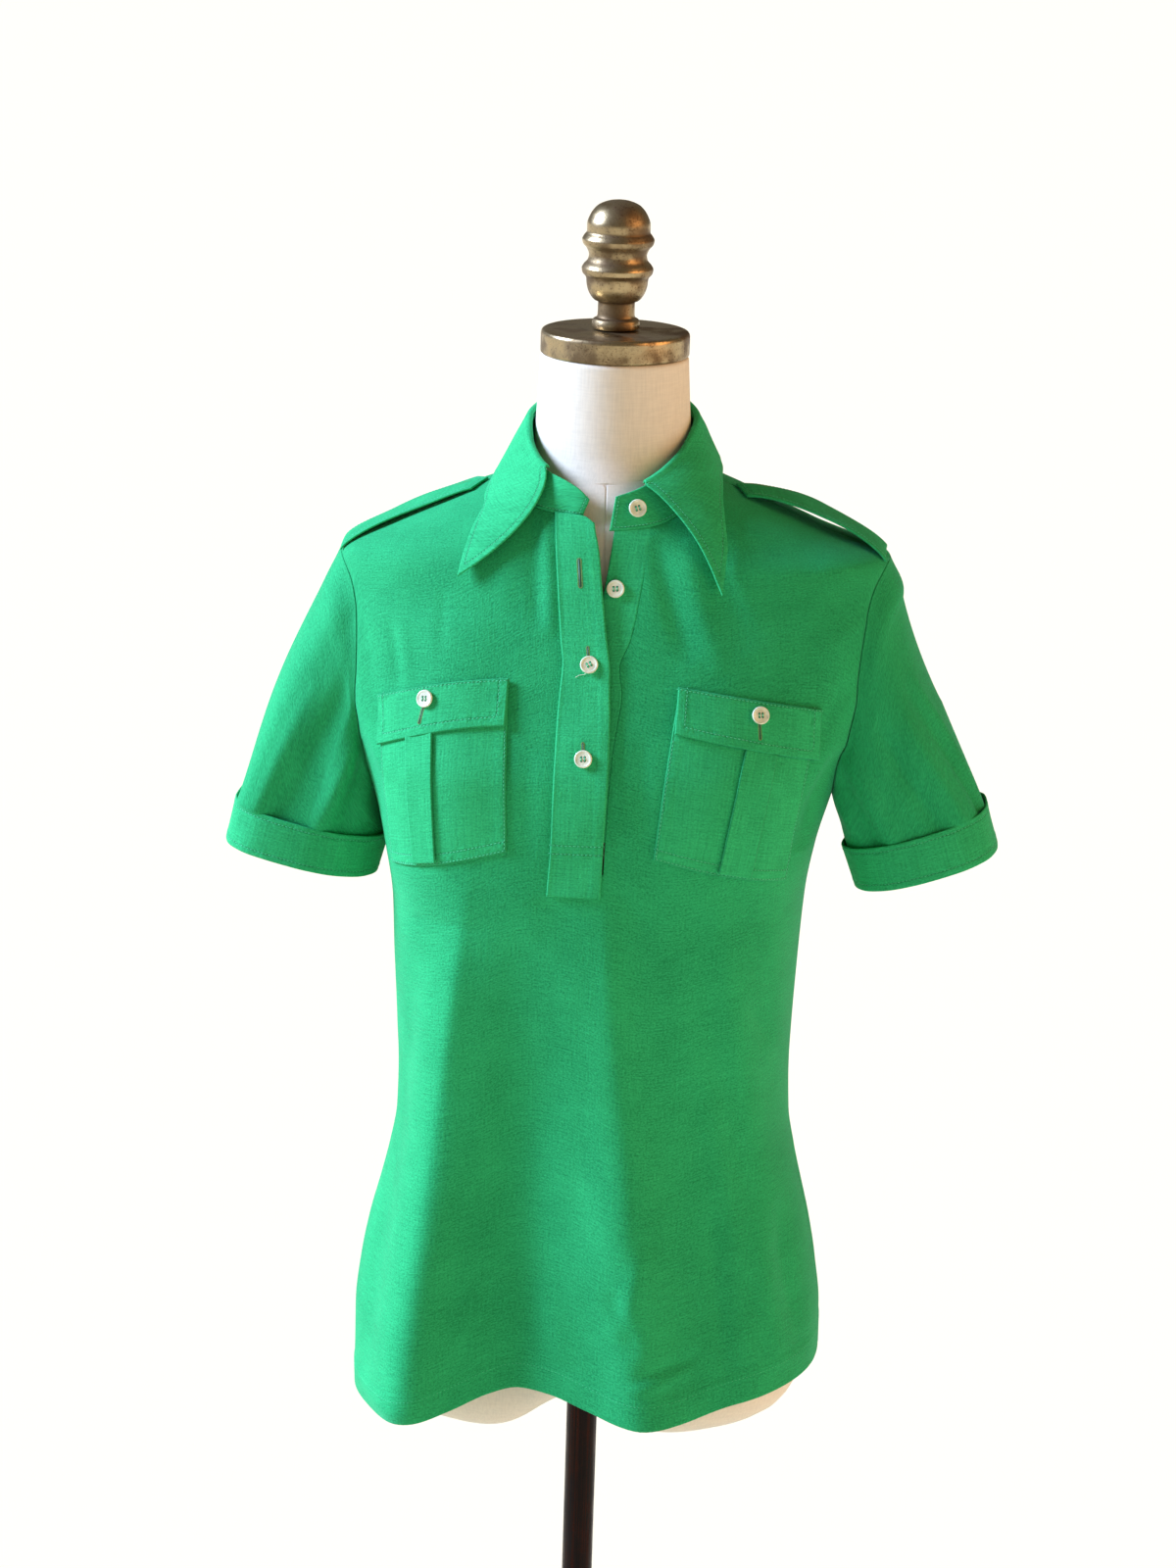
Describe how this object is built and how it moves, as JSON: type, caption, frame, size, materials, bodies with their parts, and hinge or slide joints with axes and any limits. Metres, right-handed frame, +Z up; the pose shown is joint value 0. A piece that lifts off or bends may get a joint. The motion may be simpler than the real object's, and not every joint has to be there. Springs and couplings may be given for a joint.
{
  "type": "short-sleeved popover shirt on a limbless dress form",
  "caption": "Fitted short-sleeved popover shirt with a half placket, long-point collar, shoulder straps and flap pockets, on a limbless linen dress form with a pole and round base",
  "frame": {"origin": "centre of the base's flat underside, on the floor", "axes": "+X to the right as seen from the front (the wearer's left), +Y from the front toward the back, +Z up along the pole"},
  "size_m": [0.5359, 0.3382, 1.3756],
  "materials": {
    "shirt_jersey": "kelly green fine knit with a soft sheen",
    "shirt_woven": "kelly green cloth with a fine linen-like weave, pressed and topstitched",
    "form_linen": "cream linen stretched smooth over the form",
    "antique_brass": "glossy antique brass with a brown patina",
    "dark_bronze": "smooth dark bronze, satin",
    "pearl_button": "pearly cream, four holes"
  },
  "bodies": {
    "root": {"front_panel": "shirt_jersey", "back_panel": "shirt_jersey", "sleeve_L": "shirt_jersey", "sleeve_R": "shirt_jersey", "cuff_band_L": "shirt_woven", "cuff_band_R": "shirt_woven", "collar_stand": "shirt_woven", "collar_fall": "shirt_woven", "placket_over": "shirt_woven", "placket_under": "shirt_woven", "pocket_L": "shirt_woven", "pocket_R": "shirt_woven", "pocket_pleat_L": "shirt_woven", "pocket_pleat_R": "shirt_woven", "pocket_flap_L": "shirt_woven", "pocket_flap_R": "shirt_woven", "shoulder_strap_L": "shirt_woven", "shoulder_strap_R": "shirt_woven", "button_stand": "pearl_button", "button_placket_2": "pearl_button", "button_placket_3": "pearl_button", "button_placket_4": "pearl_button", "button_pocket_L": "pearl_button", "button_pocket_R": "pearl_button", "form_torso": "form_linen", "neck_cap": "antique_brass", "finial": "antique_brass", "pole": "dark_bronze", "pole_base": "dark_bronze"}
  },
  "joints": []
}
